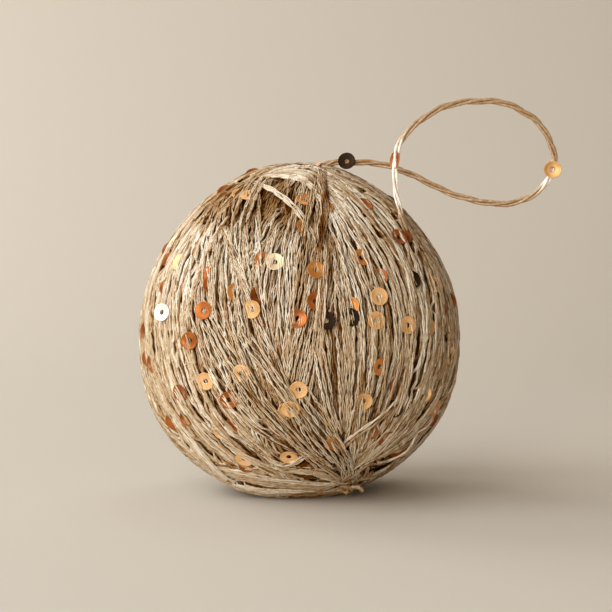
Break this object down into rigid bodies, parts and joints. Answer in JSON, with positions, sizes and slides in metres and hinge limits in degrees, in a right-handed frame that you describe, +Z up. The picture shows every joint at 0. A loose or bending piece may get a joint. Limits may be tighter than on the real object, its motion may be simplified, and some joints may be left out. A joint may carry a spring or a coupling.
{
  "type": "yarn ball ornament",
  "caption": "Round ball wound from twisted silky yarn threaded with small metallic sequins, flat spot below, free yarn loop on top for hanging.",
  "frame": {"origin": "on the flat spot that the ball rests on, under the middle of the ball", "axes": "+Z up, from the flat spot to the crown where the yarn gathers; the front, with the lower gathering point, faces -Y; the hanging loop leans towards +X"},
  "size_m": [0.0966, 0.0772, 0.0907],
  "materials": {
    "yarn": "silky twisted yarn, light tan with a bright sheen",
    "loop_yarn": "silky twisted yarn, light tan with a bright sheen",
    "sequin": "thin metallised film, from gold to copper"
  },
  "bodies": {
    "root": {"wound_ball": "yarn", "hanging_loop": "loop_yarn", "loop_sequin_1": "sequin", "loop_sequin_2": "sequin", "loop_sequin_3": "sequin", "sequin_01": "sequin", "sequin_02": "sequin", "sequin_03": "sequin", "sequin_04": "sequin", "sequin_05": "sequin", "sequin_06": "sequin", "sequin_07": "sequin", "sequin_08": "sequin", "sequin_09": "sequin", "sequin_10": "sequin", "sequin_11": "sequin", "sequin_12": "sequin", "sequin_13": "sequin", "sequin_14": "sequin", "sequin_15": "sequin", "sequin_16": "sequin", "sequin_17": "sequin", "sequin_18": "sequin", "sequin_19": "sequin", "sequin_20": "sequin", "sequin_21": "sequin", "sequin_22": "sequin", "sequin_23": "sequin", "sequin_24": "sequin", "sequin_25": "sequin", "sequin_26": "sequin", "sequin_27": "sequin", "sequin_28": "sequin", "sequin_29": "sequin", "sequin_30": "sequin", "sequin_31": "sequin", "sequin_32": "sequin", "sequin_33": "sequin", "sequin_34": "sequin", "sequin_35": "sequin", "sequin_36": "sequin", "sequin_37": "sequin", "sequin_38": "sequin", "sequin_39": "sequin", "sequin_40": "sequin", "sequin_41": "sequin", "sequin_42": "sequin", "sequin_43": "sequin", "sequin_44": "sequin", "sequin_45": "sequin", "sequin_46": "sequin", "sequin_47": "sequin", "sequin_48": "sequin", "sequin_49": "sequin", "sequin_50": "sequin", "sequin_51": "sequin", "sequin_52": "sequin", "sequin_53": "sequin", "sequin_54": "sequin"}
  },
  "joints": []
}
